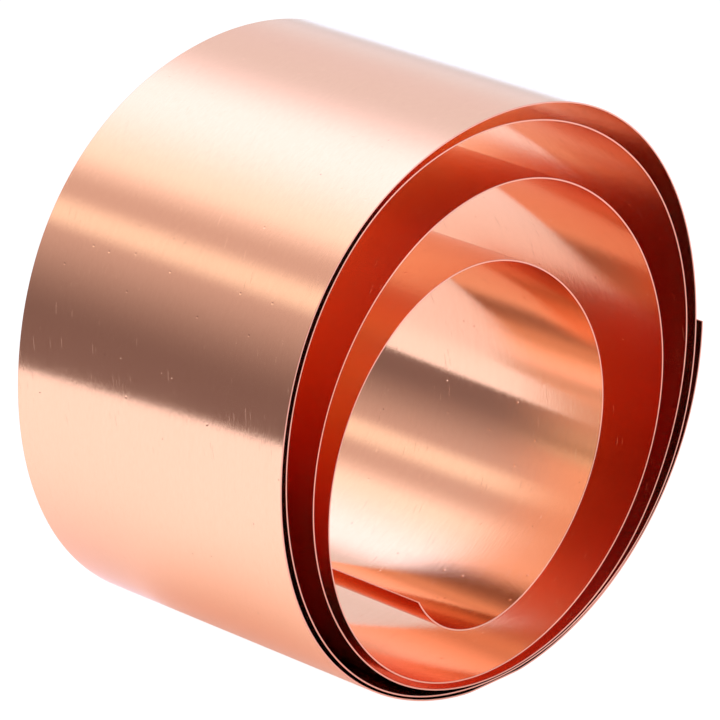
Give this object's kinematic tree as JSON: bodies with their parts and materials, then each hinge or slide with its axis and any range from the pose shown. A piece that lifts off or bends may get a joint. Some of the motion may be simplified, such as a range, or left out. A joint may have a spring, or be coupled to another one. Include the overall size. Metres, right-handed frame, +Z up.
{
  "type": "copper foil roll",
  "caption": "Loose spiral roll of bare, springy copper foil strip lying on its side, with a free outer end that unrolls and a free inner end that flexes in the open core.",
  "frame": {"origin": "on the surface the roll lies on, under the middle of its box", "axes": "+Z up; +Y along the axis of the roll, away from the end that is seen; +X towards the side where the free outer end stands up"},
  "size_m": [0.0846, 0.05, 0.0832],
  "materials": {
    "copper": "bright rolled copper, faint lengthwise grain"
  },
  "bodies": {
    "wound_turns": {"turn_1_right": "copper", "turn_1_top": "copper", "turn_1_left": "copper", "turn_1_bottom": "copper", "turn_2_right": "copper", "turn_2_top": "copper", "turn_2_left": "copper", "turn_2_bottom": "copper", "turn_3_right": "copper", "turn_3_top": "copper", "turn_3_left": "copper", "turn_3_bottom": "copper", "turn_4_right": "copper", "turn_4_top": "copper", "turn_4_left": "copper", "turn_4_foot": "copper"},
    "inner_flex_1": {"inner_end_1": "copper"},
    "inner_flex_2": {"inner_end_2": "copper"},
    "inner_flex_3": {"inner_end_3": "copper"},
    "inner_flex_4": {"inner_end_4": "copper"},
    "inner_flex_5": {"inner_end_5": "copper"},
    "outer_flex_1": {"outer_end_1": "copper"},
    "outer_flex_2": {"outer_end_2": "copper"},
    "outer_flex_3": {"outer_end_3": "copper"},
    "outer_flex_4": {"outer_end_4": "copper"},
    "outer_flex_5": {"outer_end_5": "copper"},
    "outer_flex_6": {"outer_end_6": "copper"},
    "outer_flex_7": {"outer_end_7": "copper"},
    "outer_flex_8": {"outer_end_8": "copper"}
  },
  "joints": [
    {"name": "inner_curl_1", "type": "hinge", "parent": "wound_turns", "child": "inner_flex_1", "pos_m": [0.01821, 0, 0.02374], "axis": [0, 1, 0], "range_deg": [-2, 8]},
    {"name": "inner_curl_2", "type": "hinge", "parent": "inner_flex_1", "child": "inner_flex_2", "pos_m": [0.01381, 0, 0.01754], "axis": [0, 1, 0], "range_deg": [-2, 8]},
    {"name": "inner_curl_3", "type": "hinge", "parent": "inner_flex_2", "child": "inner_flex_3", "pos_m": [0.00737, 0, 0.01239], "axis": [0, 1, 0], "range_deg": [-2, 8]},
    {"name": "inner_curl_4", "type": "hinge", "parent": "inner_flex_3", "child": "inner_flex_4", "pos_m": [-0.00085, 0, 0.00959], "axis": [0, 1, 0], "range_deg": [-2, 8]},
    {"name": "inner_curl_5", "type": "hinge", "parent": "inner_flex_4", "child": "inner_flex_5", "pos_m": [-0.00944, 0, 0.01106], "axis": [0, 1, 0], "range_deg": [-2, 8]},
    {"name": "unroll_1", "type": "hinge", "parent": "wound_turns", "child": "outer_flex_1", "pos_m": [0.00658, 0, 0.00038], "axis": [0, 1, 0], "range_deg": [0, 10]},
    {"name": "unroll_2", "type": "hinge", "parent": "outer_flex_1", "child": "outer_flex_2", "pos_m": [0.01371, 0, 0.00212], "axis": [0, 1, 0], "range_deg": [0, 10]},
    {"name": "unroll_3", "type": "hinge", "parent": "outer_flex_2", "child": "outer_flex_3", "pos_m": [0.02046, 0, 0.00504], "axis": [0, 1, 0], "range_deg": [0, 10]},
    {"name": "unroll_4", "type": "hinge", "parent": "outer_flex_3", "child": "outer_flex_4", "pos_m": [0.02662, 0, 0.00907], "axis": [0, 1, 0], "range_deg": [0, 10]},
    {"name": "unroll_5", "type": "hinge", "parent": "outer_flex_4", "child": "outer_flex_5", "pos_m": [0.032, 0, 0.01414], "axis": [0, 1, 0], "range_deg": [0, 10]},
    {"name": "unroll_6", "type": "hinge", "parent": "outer_flex_5", "child": "outer_flex_6", "pos_m": [0.03639, 0, 0.02008], "axis": [0, 1, 0], "range_deg": [0, 10]},
    {"name": "unroll_7", "type": "hinge", "parent": "outer_flex_6", "child": "outer_flex_7", "pos_m": [0.03965, 0, 0.02673], "axis": [0, 1, 0], "range_deg": [0, 10]},
    {"name": "unroll_8", "type": "hinge", "parent": "outer_flex_7", "child": "outer_flex_8", "pos_m": [0.04165, 0, 0.03385], "axis": [0, 1, 0], "range_deg": [0, 10]}
  ],
  "couplings": [
    {"joint": "inner_curl_2", "follows": "inner_curl_1", "ratio": 1},
    {"joint": "inner_curl_3", "follows": "inner_curl_1", "ratio": 1},
    {"joint": "inner_curl_4", "follows": "inner_curl_1", "ratio": 1},
    {"joint": "inner_curl_5", "follows": "inner_curl_1", "ratio": 1},
    {"joint": "unroll_2", "follows": "unroll_1", "ratio": 1},
    {"joint": "unroll_3", "follows": "unroll_1", "ratio": 1},
    {"joint": "unroll_4", "follows": "unroll_1", "ratio": 1},
    {"joint": "unroll_5", "follows": "unroll_1", "ratio": 1},
    {"joint": "unroll_6", "follows": "unroll_1", "ratio": 1},
    {"joint": "unroll_7", "follows": "unroll_1", "ratio": 1},
    {"joint": "unroll_8", "follows": "unroll_1", "ratio": 1}
  ]
}
